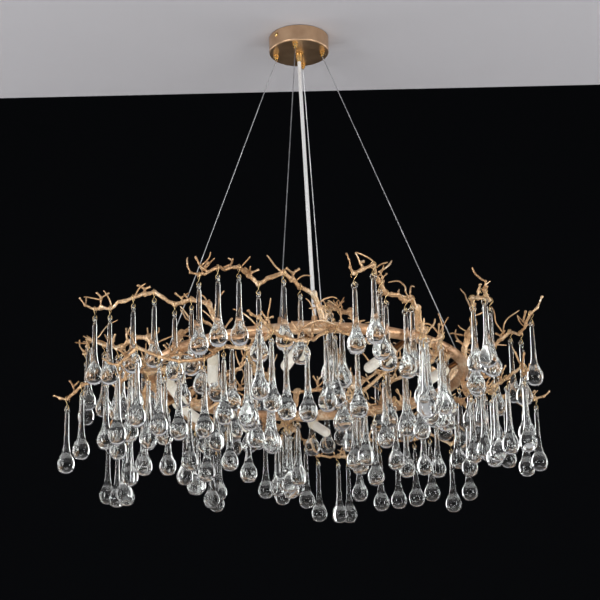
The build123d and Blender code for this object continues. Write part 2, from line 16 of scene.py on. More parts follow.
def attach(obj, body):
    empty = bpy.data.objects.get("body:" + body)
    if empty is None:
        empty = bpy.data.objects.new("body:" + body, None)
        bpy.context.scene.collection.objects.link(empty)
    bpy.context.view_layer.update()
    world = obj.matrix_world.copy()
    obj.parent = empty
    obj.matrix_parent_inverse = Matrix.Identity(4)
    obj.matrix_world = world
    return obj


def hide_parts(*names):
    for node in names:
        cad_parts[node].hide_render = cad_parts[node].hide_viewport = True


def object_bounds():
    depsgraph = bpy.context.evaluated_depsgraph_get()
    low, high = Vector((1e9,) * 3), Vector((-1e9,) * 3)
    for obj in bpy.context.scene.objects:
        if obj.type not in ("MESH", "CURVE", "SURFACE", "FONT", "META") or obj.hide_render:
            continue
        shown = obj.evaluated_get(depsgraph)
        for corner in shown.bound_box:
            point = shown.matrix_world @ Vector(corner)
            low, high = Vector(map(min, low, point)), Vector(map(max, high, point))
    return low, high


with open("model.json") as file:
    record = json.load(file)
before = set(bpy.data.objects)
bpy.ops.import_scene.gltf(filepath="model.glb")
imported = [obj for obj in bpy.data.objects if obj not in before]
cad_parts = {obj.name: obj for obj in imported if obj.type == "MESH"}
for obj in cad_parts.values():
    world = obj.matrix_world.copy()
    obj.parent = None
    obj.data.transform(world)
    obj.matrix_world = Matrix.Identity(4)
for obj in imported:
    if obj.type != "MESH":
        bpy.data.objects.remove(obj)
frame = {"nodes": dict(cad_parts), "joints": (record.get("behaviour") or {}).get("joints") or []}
cad_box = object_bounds()
nodes = frame["nodes"]
print("box of the solids", cad_box)

# %% [markdown]
# The photograph is taken from below, with a long lens, and the camera leans a little to one
# side. A camera's matrix holds its right, up and backward directions as columns, so those three
# are written down and turned into one matrix, which also holds the lean.

# %% Camera
camera_place = Vector((-0.008, -2.687, -1.390))
camera_pitch = math.radians(18.8)
camera_lean = math.radians(-1.3)
forward = Vector((0, math.cos(camera_pitch), math.sin(camera_pitch)))
level_up = Vector((0, -math.sin(camera_pitch), math.cos(camera_pitch)))
level_right = Vector((1, 0, 0))
right = level_right * math.cos(camera_lean) + level_up * math.sin(camera_lean)
upward = level_up * math.cos(camera_lean) - level_right * math.sin(camera_lean)
camera_data = bpy.data.cameras.new("camera")
camera_data.sensor_width = 36.0
camera_data.lens = 104.2
camera_data.clip_end = 50.0
camera = bpy.data.objects.new("camera", camera_data)
bpy.context.collection.objects.link(camera)
camera_axes = Matrix((right, upward, -forward)).transposed().to_4x4()
camera.matrix_world = Matrix.Translation(camera_place) @ camera_axes
bpy.context.scene.camera = camera
bpy.context.scene.view_settings.view_transform = "Standard"
print("camera", tuple(round(value, 3) for value in camera_place))

# %% [markdown]
# Colours are written as the sRGB hex values that a paint chart would give. Blender's shaders
# work in linear light, so one function converts them. A second small function adds a shader
# node, sets it and links it, and every material below is made with it.

# %% Colour and node helpers
def linear(hex_colour):
    """Linear RGBA from an sRGB hex value."""
    channels = [int(hex_colour[i : i + 2], 16) / 255 for i in (1, 3, 5)]
    return [c / 12.92 if c <= 0.04045 else ((c + 0.055) / 1.055) ** 2.4 for c in channels] + [1.0]


def add(tree, kind, inputs=None, **settings):
    """New shader node with its settings, and its inputs set to values or linked to sockets."""
    node = tree.nodes.new(kind)
    for name, value in settings.items():
        setattr(node, name, value)
    for name, value in (inputs or {}).items():
        if isinstance(value, bpy.types.NodeSocket):
            tree.links.new(value, node.inputs[name])
        else:
            node.inputs[name].default_value = value
    return node


def new_material(name):
    """Empty material with its node tree and surface shader."""
    material = bpy.data.materials.new(name)
    material.use_nodes = True
    tree = material.node_tree
    return material, tree, tree.nodes["Principled BSDF"]


def shades(tree, factor, stops):
    """Colour ramp socket from (place, hex colour) stops."""
    ramp = add(tree, "ShaderNodeValToRGB", {"Fac": factor})
    ramp.color_ramp.elements[0].position = stops[0][0]
    ramp.color_ramp.elements[0].color = linear(stops[0][1])
    ramp.color_ramp.elements[1].position = stops[-1][0]
    ramp.color_ramp.elements[1].color = linear(stops[-1][1])
    for place, colour in stops[1:-1]:
        ramp.color_ramp.elements.new(place).color = linear(colour)
    return ramp.outputs["Color"]


per_mm = 1000.0
print("helpers ready")

# %% [markdown]
# The ring and twigs are metal rods under a thick antique-gold lacquer, combed while wet so that
# it dries in ridges like bark. A fine noise gives the ridges, and its height drives gloss and bump.
# The same height sets the colour: the valleys are darker, partly the lacquer's own copper-brown and
# partly painted shade, and the near-white crests round a gold middle tone are painted highlights.
# A coarse noise joins the fine one for the colour, so that the lacquer is patchy.

# %% Bark lacquer
bark_patch_mm = 40.0
crest_gloss, valley_dullness = 0.08, 0.12


def bark_lacquer(name, ridge_mm, stops, rough, metal):
    """Combed lacquer whose ridges are about ridge_mm wide."""
    material, tree, shader = new_material(name)
    place = add(tree, "ShaderNodeTexCoord").outputs["Object"]
    ridges = add(
        tree, "ShaderNodeTexNoise",
        {
            "Vector": place, "Scale": per_mm / (ridge_mm * 2), "Detail": 5.0, "Roughness": 0.62,
            "Distortion": 0.4,
        },
    ).outputs["Fac"]
    patches = add(
        tree, "ShaderNodeTexNoise",
        {"Vector": place, "Scale": per_mm / bark_patch_mm, "Detail": 2.0},
    ).outputs["Fac"]
    blend = add(tree, "ShaderNodeMath", {0: ridges, 1: patches}, operation="ADD").outputs[0]
    halved = add(tree, "ShaderNodeMath", {0: blend, 1: 0.5}, operation="MULTIPLY").outputs[0]
    # The ramp paints shade into the low ridges and a near-white highlight onto the crests.
    tree.links.new(shades(tree, halved, stops), shader.inputs["Base Color"])
    gloss = add(
        tree, "ShaderNodeMapRange",
        {"Value": ridges, 3: rough + valley_dullness, 4: rough - crest_gloss},
    )
    tree.links.new(gloss.outputs["Result"], shader.inputs["Roughness"])
    bump = add(tree, "ShaderNodeBump", {"Height": ridges, "Strength": 0.5, "Distance": 0.0012})
    tree.links.new(bump.outputs["Normal"], shader.inputs["Normal"])
    shader.inputs["Metallic"].default_value = metal
    return material


# The first, dark stop of each ramp is partly painted shade in the valleys; the last, near-white stop
# is a painted highlight on the crests.
ring_bark = bark_lacquer(
    "ring bark lacquer", ridge_mm=2.2,
    stops=[(0.31, "#754F35"), (0.45, "#B58A64"), (0.56, "#D6AE88"), (0.66, "#FCE9CC")],
    rough=0.28, metal=0.65,
)
twig_bark = bark_lacquer(
    "twig bark lacquer", ridge_mm=1.6,
    stops=[(0.31, "#7C5738"), (0.45, "#BD956C"), (0.56, "#DEBC94"), (0.66, "#FFF2DC")],
    rough=0.24, metal=0.65,
)
print("bark lacquers ready")

# %% [markdown]
# The canopy is spun steel with a satin gold coat. A lathe leaves hair-fine circles, which stretch
# every highlight, so the roughness and bump follow fine bands in height. The small fittings are
# turned in the same way, and each has its own plating.

# %% Metals
tone_patch_mm = 25.0
lathe_stretch = (0.04, 0.04, 1.0)
line_gloss, line_dullness = 0.07, 0.09


def turned_metal(name, colour, dark, rough, line_mm):
    """Plated metal with the fine lines of its lathe, drawn coarser than real so that they show."""
    material, tree, shader = new_material(name)
    place = add(tree, "ShaderNodeTexCoord").outputs["Object"]
    stretched = add(tree, "ShaderNodeMapping", {"Vector": place, "Scale": lathe_stretch})
    lines = add(
        tree, "ShaderNodeTexNoise",
        {"Vector": stretched.outputs["Vector"], "Scale": per_mm / line_mm, "Detail": 3.0},
    ).outputs["Fac"]
    tone = add(
        tree, "ShaderNodeTexNoise",
        {"Vector": place, "Scale": per_mm / tone_patch_mm, "Detail": 3.0},
    ).outputs["Fac"]
    tree.links.new(shades(tree, tone, [(0.3, dark), (0.7, colour)]), shader.inputs["Base Color"])
    gloss = add(
        tree, "ShaderNodeMapRange", {"Value": lines, 3: rough - line_gloss, 4: rough + line_dullness}
    )
    tree.links.new(gloss.outputs["Result"], shader.inputs["Roughness"])
    bump = add(tree, "ShaderNodeBump", {"Height": lines, "Strength": 0.12, "Distance": 0.0003})
    tree.links.new(bump.outputs["Normal"], shader.inputs["Normal"])
    shader.inputs["Metallic"].default_value = 1.0
    return material


canopy_gold = turned_metal("satin gold plate", "#D8B795", "#C8A482", rough=0.38, line_mm=1.0)
fitting_brass = turned_metal("polished brass", "#E4C68A", "#D2AE70", rough=0.2, line_mm=0.8)
zinc_steel = turned_metal("zinc plated steel", "#BFC0C2", "#A3A5A8", rough=0.34, line_mm=0.8)
wire_steel = turned_metal("stranded steel wire", "#C4C5C6", "#8F9092", rough=0.32, line_mm=0.5)
hook_gold = turned_metal("bright gold wire", "#EAD2A2", "#D6B680", rough=0.22, line_mm=0.8)
arm_bronze = turned_metal("dark bronze tube", "#6B4A30", "#51351F", rough=0.4, line_mm=0.9)
print("metals ready")

# %% [markdown]
# The drops are solid lead-free crystal, drawn by hand from the furnace: a clear body with a
# faintly wavy skin. Glass needs no colour, only its index of refraction and a very small bump that
# bends the highlights. The lamps, their holders, the terminal block and the cord's cover are
# moulded, with a fine grain.

# %% Glass, plastics and lamps
glass, glass_tree, glass_shader = new_material("clear drawn crystal")
glass_place = add(glass_tree, "ShaderNodeTexCoord").outputs["Object"]
glass_wave_mm = 14.0
glass_wave = add(
    glass_tree, "ShaderNodeTexNoise",
    {"Vector": glass_place, "Scale": per_mm / glass_wave_mm, "Detail": 0.0},
).outputs["Fac"]
glass_bump = add(
    glass_tree, "ShaderNodeBump", {"Height": glass_wave, "Strength": 0.08, "Distance": 0.0010}
)
glass_tree.links.new(glass_bump.outputs["Normal"], glass_shader.inputs["Normal"])
glass_shader.inputs["Base Color"].default_value = linear("#FAFCFB")
glass_shader.inputs["Transmission Weight"].default_value = 1.0
glass_shader.inputs["Roughness"].default_value = 0.0
glass_shader.inputs["IOR"].default_value = 1.52


def moulded(name, colour, pale, rough, grain_mm, clear=0.0):
    """Moulded plastic or ceramic with a fine matt grain."""
    material, tree, shader = new_material(name)
    place = add(tree, "ShaderNodeTexCoord").outputs["Object"]
    grain = add(
        tree, "ShaderNodeTexNoise", {"Vector": place, "Scale": per_mm / grain_mm, "Detail": 3.0}
    ).outputs["Fac"]
    tree.links.new(shades(tree, grain, [(0.3, colour), (0.7, pale)]), shader.inputs["Base Color"])
    bump = add(tree, "ShaderNodeBump", {"Height": grain, "Strength": 0.1, "Distance": 0.0003})
    tree.links.new(bump.outputs["Normal"], shader.inputs["Normal"])
    shader.inputs["Roughness"].default_value = rough
    shader.inputs["Transmission Weight"].default_value = clear
    return material


lamp_white = moulded("frosted lamp silicone", "#EFE8D8", "#F8F4EA", rough=0.35, grain_mm=3.0)
holder_ivory = moulded("glazed lamp ceramic", "#E4DAC4", "#EFE7D6", rough=0.3, grain_mm=2.0)
terminal_white = moulded("white nylon", "#E6E5E0", "#F0EFEB", rough=0.5, grain_mm=1.5)
cord_clear = moulded("clear vinyl cord", "#ECECEA", "#F7F7F5", rough=0.22, grain_mm=4.0, clear=0.1)
print("glass and plastics ready")

# %% [markdown]
# Cords come early, because their room is measured. The steel wires run from the grippers in the
# canopy to the ring, and the power cord from its terminals to the inlet of the near joint. Each is
# one open NURBS spline with the route's own points as its control points.

# %% Suspension wires and power cord
ring_height = -0.604
ring_radius = 0.252
sides = ("near", "right", "far", "left")
wire_angles = (-9.0, 81.0, 171.0, 261.0)
gripper_circle = 0.040
wire_tail_height, wire_bend_height, wire_bend_reach = -0.016, -0.038, 0.010
inlet_angle = 3.0
cord_start_height, cord_bend_height, cord_bend_reach = -0.0106, -0.0605, 0.022
anchor_reach = 0.012


def on_ring(angle, radius, height):
    """Point at an angle from the near side, at a radius and a height."""
    turn = math.radians(angle)
    return Vector((radius * math.sin(turn), -radius * math.cos(turn), height))


def cord_curve(name, route, diameter, material):
    """Round cord along one spline, with its route's points as control points."""
    curve = bpy.data.curves.new(name, "CURVE")
    curve.dimensions = "3D"
    curve.bevel_depth = diameter / 2
    curve.bevel_resolution = 3
    curve.use_fill_caps = True
    spline = curve.splines.new("NURBS")
    spline.points.add(len(route) - 1)
    for point, place in zip(spline.points, route):
        point.co = (*place, 1.0)
    spline.order_u = 3
    spline.use_endpoint_u = True
    spline.resolution_u = 24
    curve.materials.append(material)
    cord = bpy.data.objects.new(name, curve)
    bpy.context.collection.objects.link(cord)
    return cord


def bent_route(start, bend, foot, reach):
    """Route down from start, round a bend of that reach, and straight to just above its foot."""
    aim = (bend - foot).normalized()
    end = foot + aim * anchor_reach
    above = bend + Vector((0, 0, reach))
    return [start, above, bend, bend - aim * reach, bend.lerp(end, 0.5), end]


for side, angle in zip(sides, wire_angles):
    tail = on_ring(angle, gripper_circle, wire_tail_height)
    wire_bend = on_ring(angle, gripper_circle, wire_bend_height)
    anchor = on_ring(angle, ring_radius, ring_height)
    wire_route = bent_route(tail, wire_bend, anchor, wire_bend_reach)
    wire = cord_curve(f"wire_{side}", wire_route, 0.0015, wire_steel)
    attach(wire, "fixture")
    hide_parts("suspension_wires")

cord_start = Vector((0, 0, cord_start_height))
cord_bend = Vector((0, 0, cord_bend_height))
inlet = on_ring(inlet_angle, ring_radius, ring_height)
cord_route = bent_route(cord_start, cord_bend, inlet, cord_bend_reach)
power_cord = cord_curve("mains_cord", cord_route, 0.006, cord_clear)
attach(power_cord, "fixture")
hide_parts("power_cord")
print("five cords laid")

# %% [markdown]
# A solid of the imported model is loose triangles, so a working copy is merged before it is
# reshaped. Pieces of one node that don't touch are islands of that copy, which is how the place of
# each drop is read. Hooks and shoots are rods, drawn by extruding a circle along a course.

# %% Helpers for meshes
same_place = 1e-6


def merged_copy(node_name):
    """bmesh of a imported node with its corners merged."""
    bm = bmesh.new()
    bm.from_mesh(nodes[node_name].data)
    bmesh.ops.transform(bm, matrix=nodes[node_name].matrix_world, verts=bm.verts)
    bmesh.ops.remove_doubles(bm, verts=bm.verts, dist=same_place)
    return bm


def islands(bm):
    """Lists of vertices that hang together, in the mesh's own order."""
    reached = set()
    found = []
    for first in bm.verts:
        if first in reached:
            continue
        reached.add(first)
        island = [first]
        for vert in island:
            for edge in vert.link_edges:
                other = edge.other_vert(vert)
                if other not in reached:
                    reached.add(other)
                    island.append(other)
        found.append(island)
    return found


def edges_of(loop):
    """Edges at the vertices of a loop, each once and in order."""
    return list(dict.fromkeys(edge for vert in loop for edge in vert.link_edges))


def new_piece(name, bm, material, body, slot, *replaced):
    """Object from a bmesh, smooth, with its finish, its body and the nodes that it stands for."""
    mesh = bpy.data.meshes.new(name)
    bm.to_mesh(mesh)
    bm.free()
    mesh.materials.append(material)
    mesh.polygons.foreach_set("use_smooth", [True] * len(mesh.polygons))
    piece = bpy.data.objects.new(name, mesh)
    bpy.context.collection.objects.link(piece)
    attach(piece, body)
    if replaced:
        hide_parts(*replaced)
    return piece


def round_off(piece, levels):
    """Subdivision surface on a piece, equal in the view and the render."""
    rounding = piece.modifiers.new("rounding", "SUBSURF")
    rounding.levels = levels
    rounding.render_levels = levels


def add_copy(bm, mesh, place):
    """Copy of a mesh, added to a bmesh and moved to a place."""
    before = len(bm.verts)
    bm.from_mesh(mesh)
    bm.verts.ensure_lookup_table()
    bmesh.ops.transform(bm, matrix=place, verts=bm.verts[before:])


def draw_rod(bm, course, radius, slimmer, corners):
    """Closed rod along a course, each length slimmer than the last by that share."""
    aims = [(end - start).normalized() for start, end in zip(course, course[1:])]
    loop = bmesh.ops.create_circle(bm, segments=corners, radius=radius)["verts"]
    stand = Matrix.Translation(course[0]) @ aims[0].to_track_quat("Z", "Y").to_matrix().to_4x4()
    bmesh.ops.transform(bm, matrix=stand, verts=loop)
    edges = edges_of(loop)
    bmesh.ops.edgeloop_fill(bm, edges=edges)
    for step, (start, end) in enumerate(zip(course, course[1:])):
        grown = bmesh.ops.extrude_edge_only(bm, edges=edges)["geom"]
        loop = [item for item in grown if isinstance(item, bmesh.types.BMVert)]
        edges = [item for item in grown if isinstance(item, bmesh.types.BMEdge)]
        bmesh.ops.translate(bm, verts=loop, vec=end - start)
        turn = aims[step].rotation_difference(aims[min(step + 1, len(aims) - 1)])
        about = Matrix.Translation(end)
        bend = about @ turn.to_matrix().to_4x4() @ Matrix.Scale(slimmer, 4) @ about.inverted()
        bmesh.ops.transform(bm, matrix=bend, verts=loop)
    bmesh.ops.edgeloop_fill(bm, edges=edges)


print("mesh helpers ready")

# %% [markdown]
# Each drop is drawn out by gravity: a loop at the top, a long thin neck and a heavy ball. A coarse
# cage is spun from half a profile, and a subdivision surface rounds it, because this shape is
# repeated all over the chandelier. Subdivision pulls an eight-sided cage inwards, so the cage is
# drawn wider by that share.

# %% One glass drop
cage_sides = 8
cage_swell = 6 / (4 + 2 * math.cos(2 * math.pi / cage_sides))
eye_top = 0.0056
drop_reach = 0.108
eye_radius = 0.0039
eye_thickness = 0.0017
eye_corners = 6
eye_swell = 1.2
drop_profile = [
    (0.0000, -0.0030), (0.0022, -0.0034), (0.0032, -0.0062), (0.0033, -0.0120), (0.0036, -0.0340),
    (0.0043, -0.0560), (0.0066, -0.0680), (0.0116, -0.0770), (0.0146, -0.0882), (0.0112, -0.0988),
    (0.0046, -0.1013), (0.0000, -0.1015),
]


def spin_round(bm, verts, edges, axis):
    """Full turn of a line or loop about an axis through the origin, in the steps of the cage."""
    bmesh.ops.spin(
        bm, geom=verts + edges, axis=axis, cent=(0, 0, 0), angle=2 * math.pi, steps=cage_sides,
        use_merge=True,
    )


# The middle of the eye is the origin, and its hole runs along X.
drop = bmesh.new()
profile = [drop.verts.new((x * cage_swell, 0, z)) for x, z in drop_profile]
profile_edges = [drop.edges.new(pair) for pair in zip(profile, profile[1:])]
spin_round(drop, profile, profile_edges, (0, 0, 1))
eye = bmesh.ops.create_circle(drop, segments=eye_corners, radius=eye_thickness * eye_swell)["verts"]
bmesh.ops.translate(drop, verts=eye, vec=(0, eye_radius * cage_swell, 0))
spin_round(drop, eye, edges_of(eye), (1, 0, 0))
bmesh.ops.remove_doubles(drop, verts=drop.verts, dist=same_place)
bmesh.ops.recalc_face_normals(drop, faces=drop.faces)
drop_cage = bpy.data.meshes.new("drop_cage")
drop.to_mesh(drop_cage)
drop.free()
print("drop cage", len(drop_cage.polygons), "faces")

# %% [markdown]
# Every row of drops swings on its own joint, so it becomes one piece that rides the row's body. A
# drop's place is read from its solid, and the eye's hole is turned along the joint's axis.

# %% Rows of glass drops
joint_of = {joint["child"]: joint for joint in frame["joints"]}
drop_places = []
for name in sorted(node for node in nodes if node.startswith("drops_")):
    row = joint_of[name]["axis"]
    heading = Matrix.Rotation(math.atan2(row[1], row[0]), 4, "Z")
    source = merged_copy(name)
    strung = bmesh.new()
    for island in islands(source):
        x = (min(v.co.x for v in island) + max(v.co.x for v in island)) / 2
        y = (min(v.co.y for v in island) + max(v.co.y for v in island)) / 2
        z = max(v.co.z for v in island) - eye_top
        add_copy(strung, drop_cage, Matrix.Translation((x, y, z)) @ heading)
        drop_places.append((Vector((x, y, z)), heading))
    source.free()
    piece = new_piece(name.replace("drops", "glass"), strung, glass, name, "clear_glass", name)
    round_off(piece, 2)
print(len(drop_places), "glass drops")

# %% [markdown]
# A drop hangs on a hook of gold wire: an eye through the glass, a short stem, and a ring that
# rests on the twig and stands across it. One hook is drawn as a rod along two loops, with few
# corners because it is repeated, and copied to every drop.

# %% Wire hooks
hook_wire = 0.0005
hook_cage_swell = 1.4
hook_eye_middle = 0.0042
hook_eye_radius = 0.0034
twig_ring_middle = 0.01722
twig_ring_radius = 0.00549
stem_foot, stem_top = 0.0086, 0.0106
loop_lengths = 10
hook_corners = 4


def loop_course(middle, radius, across, from_angle, to_angle):
    """Points on a wire loop that stands upright, across being its level direction."""
    course = []
    for step in range(loop_lengths + 1):
        turn = math.radians(from_angle + (to_angle - from_angle) * step / loop_lengths)
        rise = Vector((0, 0, middle + radius * math.cos(turn)))
        course.append(rise + across * (radius * math.sin(turn)))
    return course


eye_loop = loop_course(
    hook_eye_middle, hook_eye_radius, Vector((1, 0, 0)), from_angle=340, to_angle=50
)
stem = [Vector((0, 0, stem_foot)), Vector((0, 0, stem_top))]
ring_loop = loop_course(
    twig_ring_middle, twig_ring_radius, Vector((0, 1, 0)), from_angle=140, to_angle=-140
)
wire_course = eye_loop + stem + ring_loop
hook = bmesh.new()
draw_rod(hook, wire_course, hook_wire * hook_cage_swell, slimmer=1.0, corners=hook_corners)
bmesh.ops.recalc_face_normals(hook, faces=hook.faces)
hook_mesh = bpy.data.meshes.new("hook")
hook.to_mesh(hook_mesh)
hook.free()
hooks = bmesh.new()
for place, heading in drop_places:
    add_copy(hooks, hook_mesh, Matrix.Translation(place) @ heading)
print(len(hook_mesh.polygons), "faces a hook")
hook_piece = new_piece("wire_hooks", hooks, hook_gold, "fixture", "hook_gold", "drop_hooks")
round_off(hook_piece, 1)

# %% [markdown]
# Twigs grow unevenly: they swell at the knuckles, wander a little and carry buds. The solids of
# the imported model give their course, so a copy is remeshed into even small faces, which melts the
# joints together. Each corner is then pushed in or out by noise of several sizes, and a slow drift
# bends the straight lengths, except where a hook, the ring or a drop needs the twig in its place.
# The vectors of the noise module start from the clock unless they get a seed, so one is set here,
# and the twigs bend in the same way on every run.

# %% Knobbly twigs
swell_length_mm, swell_mm = 14.0, 0.4
knob_spacing_mm, knob_share, knob_mm = 6.0, 0.42, 0.9
ridge_length_mm, ridge_mm = 2.6, 0.2
drift_length_mm, drift_mm = 48.0, 10.0
hook_hold, ring_hold, drop_room, hold_fade = 0.007, 0.014, 0.014, 0.012
twig_voxel_mm = 1.2
drift_seed = 1795797663
noise.seed_set(drift_seed)


def swollen(place, normal):
    """Place moved along its normal by slow swelling, round knobs and fine ridges."""
    slow = noise.noise(place * (per_mm / swell_length_mm))
    fine = noise.noise(place * (per_mm / ridge_length_mm))
    distance = noise.voronoi(place * (per_mm / knob_spacing_mm))[0][0]
    knob = max(0.0, knob_share - distance) / knob_share
    return place + normal * ((slow * swell_mm + knob * knob_mm + fine * ridge_mm) / per_mm)


def grow(node_name, voxel_mm):
    """Remeshed copy of a node as a bmesh."""
    bm = merged_copy(node_name)
    mesh = bpy.data.meshes.new("growing")
    bm.to_mesh(mesh)
    bm.free()
    growing = bpy.data.objects.new("growing", mesh)
    bpy.context.collection.objects.link(growing)
    remesh = growing.modifiers.new("remesh", "REMESH")
    remesh.mode = "VOXEL"
    remesh.voxel_size = voxel_mm / per_mm
    evaluated = growing.evaluated_get(bpy.context.evaluated_depsgraph_get())
    grown = bpy.data.meshes.new_from_object(evaluated)
    bpy.data.objects.remove(growing)
    result = bmesh.new()
    result.from_mesh(grown)
    bpy.data.meshes.remove(grown)
    bpy.data.meshes.remove(mesh)
    return result


hook_tree = kdtree.KDTree(len(drop_places))
drop_tree = kdtree.KDTree(len(drop_places))
for index, (place, _) in enumerate(drop_places):
    hook_tree.insert(place + Vector((0, 0, twig_ring_middle)), index)
    drop_tree.insert((place.x, place.y, 0), index)
hook_tree.balance()
drop_tree.balance()


def drop_gaps(place, reach):
    """Level distances to the drops within reach, each with the height past that drop's ends."""
    gaps = []
    for _, index, away in drop_tree.find_range((place.x, place.y, 0), reach):
        height = place.z - drop_places[index][0].z
        gaps.append((away, max(0.0, height - eye_top, -drop_reach - height)))
    return gaps


def wander(place):
    """Slow drift of a twig, which dies away at the hooks, at the ring and beside the drops."""
    off_hook = hook_tree.find(place)[2] - hook_hold
    off_ring = math.hypot(place.xy.length - ring_radius, place.z - ring_height) - ring_hold
    gaps = drop_gaps(place, drop_room + hold_fade)
    off_drop = min((math.hypot(*gap) - drop_room for gap in gaps), default=hold_fade)
    freedom = min(1.0, max(0.0, min(off_hook, off_ring, off_drop) / hold_fade))
    return noise.noise_vector(place * (per_mm / drift_length_mm)) * (drift_mm * freedom / per_mm)


for side in sides:
    twigs = grow(f"branches_{side}", twig_voxel_mm)
    bmesh.ops.smooth_vert(
        twigs, verts=twigs.verts, factor=0.5, use_axis_x=True, use_axis_y=True, use_axis_z=True
    )
    twigs.normal_update()
    print("twigs", side, len(twigs.faces), "faces")
    moved = [swollen(vert.co, vert.normal) + wander(vert.co) for vert in twigs.verts]
    for vert, place in zip(twigs.verts, moved):
        vert.co = place
    new_piece(f"twigs_{side}", twigs, twig_bark, "fixture", "twig_gold", f"branches_{side}")

# %% [markdown]
# Fine shoots sprout from the twigs, bend and end bluntly. They are thin trim on the surface, so
# each starts as a five-sided ring of corners on a twig, and is extruded in short bent lengths that
# get a little thinner. A seeded random choice spreads short stubs and longer curling shoots, and a
# shoot that would come near a drop is left out.

# %% Fine shoots
chance = random.Random(11)
shoot_margin = 0.003
shoot_limit = min(cad_box[1][0], cad_box[1][1], -cad_box[0][0], -cad_box[0][1]) - shoot_margin
shoot_top = -0.492
shoot_room = 0.017
root_depth, lift, bending = 0.001, 0.3, 0.4
lowest_slope = -0.45
shortest_length, longest_length = 0.005, 0.010
thickest_share = 1.3
shoot_corners = 5


def shoot_course(start, normal, lengths):
    """Bent course of a shoot: out of the bark, then in one wide turn with small wiggles."""
    course = [start - normal * root_depth]
    aim = (normal + Vector((0, 0, lift))).normalized()
    swing = Vector((chance.uniform(-1, 1), chance.uniform(-1, 1), chance.uniform(-0.6, 0.8)))
    for length in lengths:
        course.append(course[-1] + aim * length)
        wiggle = Vector((chance.uniform(-1, 1), chance.uniform(-1, 1), chance.uniform(-1, 1)))
        aim = (aim + swing * bending + wiggle * bending).normalized()
    return course


def sprout(bm, bark, count, joints, radius, slimmer):
    """Shoots from a random choice of the bark's corners, each of one of the numbers of joints."""
    made = 0
    for index in chance.sample(range(len(bark.vertices)), count):
        vert = bark.vertices[index]
        if vert.normal.z < lowest_slope:
            continue
        joint_count = chance.choice(joints)
        lengths = [chance.uniform(shortest_length, longest_length) for _ in range(joint_count)]
        course = shoot_course(vert.co, vert.normal, lengths)
        if any(past == 0.0 for place in course for _, past in drop_gaps(place, shoot_room)):
            continue
        reach = max(max(abs(place.x), abs(place.y)) for place in course)
        if reach > shoot_limit or max(place.z for place in course) > shoot_top:
            continue
        thickness = chance.uniform(radius, radius * thickest_share)
        draw_rod(bm, course, thickness, slimmer, shoot_corners)
        made += 1
    return made


shoots = bmesh.new()
shoot_total = 0
for side in sides:
    bark = bpy.data.objects[f"twigs_{side}"].data
    shoot_total += sprout(shoots, bark, count=110, joints=(2, 3, 4), radius=0.0015, slimmer=0.92)
    shoot_total += sprout(shoots, bark, count=46, joints=(5, 7, 9), radius=0.0017, slimmer=0.95)
bmesh.ops.recalc_face_normals(shoots, faces=shoots.faces)
shoot_piece = new_piece("fine_shoots", shoots, twig_bark, "fixture", "twig_gold")
round_off(shoot_piece, 1)
print(shoot_total, "fine shoots")

# %% [markdown]
# The ring is a bent tube under the same lacquer, combed lengthways. A circle is spun round the
# axis and its corners follow noise that is stretched along the ring, which leaves long ridges.

# %% Bark ring
tube_radius = 0.0082
ring_sides = 28
ring_steps = 220
comb_along, comb_round, comb_depth = 28, 3.2, 0.05
knot_along, knot_round, knot_depth, knot_shift = 60, 1.2, 0.045, 7


def ring_noise(along, across, per_metre, per_turn, shift):
    """Noise on the tube's skin, with its own scale along the ring and round the tube."""
    sideways, upwards = math.cos(across) * per_turn, math.sin(across) * per_turn
    return noise.noise(Vector((along * per_metre, sideways, upwards + shift)))


def bark_ring(name, node_name, from_angle, to_angle):
    """Half hoop with combed ridges."""
    bm = bmesh.new()
    loop = bmesh.ops.create_circle(bm, segments=ring_sides, radius=tube_radius)["verts"]
    start = Matrix.Rotation(math.radians(from_angle - 90), 4, "Z")
    stand = start @ Matrix.Translation((ring_radius, 0, 0))
    bmesh.ops.transform(bm, matrix=stand @ Matrix.Rotation(math.pi / 2, 4, "X"), verts=loop)
    bmesh.ops.spin(
        bm, geom=loop + edges_of(loop), axis=(0, 0, 1), cent=(0, 0, 0),
        angle=math.radians(to_angle - from_angle), steps=ring_steps,
    )
    bmesh.ops.holes_fill(bm, edges=bm.edges, sides=ring_sides)
    bmesh.ops.recalc_face_normals(bm, faces=bm.faces)
    for vert in bm.verts:
        middle = Vector((vert.co.x, vert.co.y, 0)).normalized() * ring_radius
        out = vert.co - middle
        along = math.atan2(vert.co.y, vert.co.x) * ring_radius
        across = math.atan2(out.z, Vector((vert.co.x, vert.co.y, 0)).length - ring_radius)
        comb = ring_noise(along, across, comb_along, comb_round, 0)
        knot = ring_noise(along, across, knot_along, knot_round, knot_shift)
        vert.co = middle + out * (1 + comb_depth * comb + knot_depth * knot)
    bmesh.ops.translate(bm, verts=bm.verts, vec=(0, 0, ring_height))
    new_piece(name, bm, ring_bark, "fixture", "bark_bronze", node_name)


half_gap = 0.25
bark_ring("bark_ring_right", "ring_right_half", half_gap, 180 - half_gap)
bark_ring("bark_ring_left", "ring_left_half", 180 + half_gap, 360 - half_gap)
print("ring ready")

# %% [markdown]
# The remaining pieces keep the shape of their solids, which are already the real turned, bent and
# moulded forms, and take their finish here.

# %% Finishes of the other pieces
finishes = {
    "mounting_bracket": zinc_steel, "canopy_cup": canopy_gold, "canopy_screws": fitting_brass,
    "terminal_block": terminal_white, "cable_gland": fitting_brass, "gland_nut": zinc_steel,
    "gripper_barrels": fitting_brass, "gripper_nuts": zinc_steel, "plunger_near": fitting_brass,
    "plunger_right": fitting_brass, "plunger_far": fitting_brass, "plunger_left": fitting_brass,
    "wire_anchors": ring_bark, "ring_sleeves": ring_bark, "lamp_arms": arm_bronze,
    "lamp_holders": holder_ivory, "lamps": lamp_white,
}
for name, material in finishes.items():
    mesh = nodes[name].data
    mesh.materials.clear()
    mesh.materials.append(material)
print(len(finishes), "nodes finished")
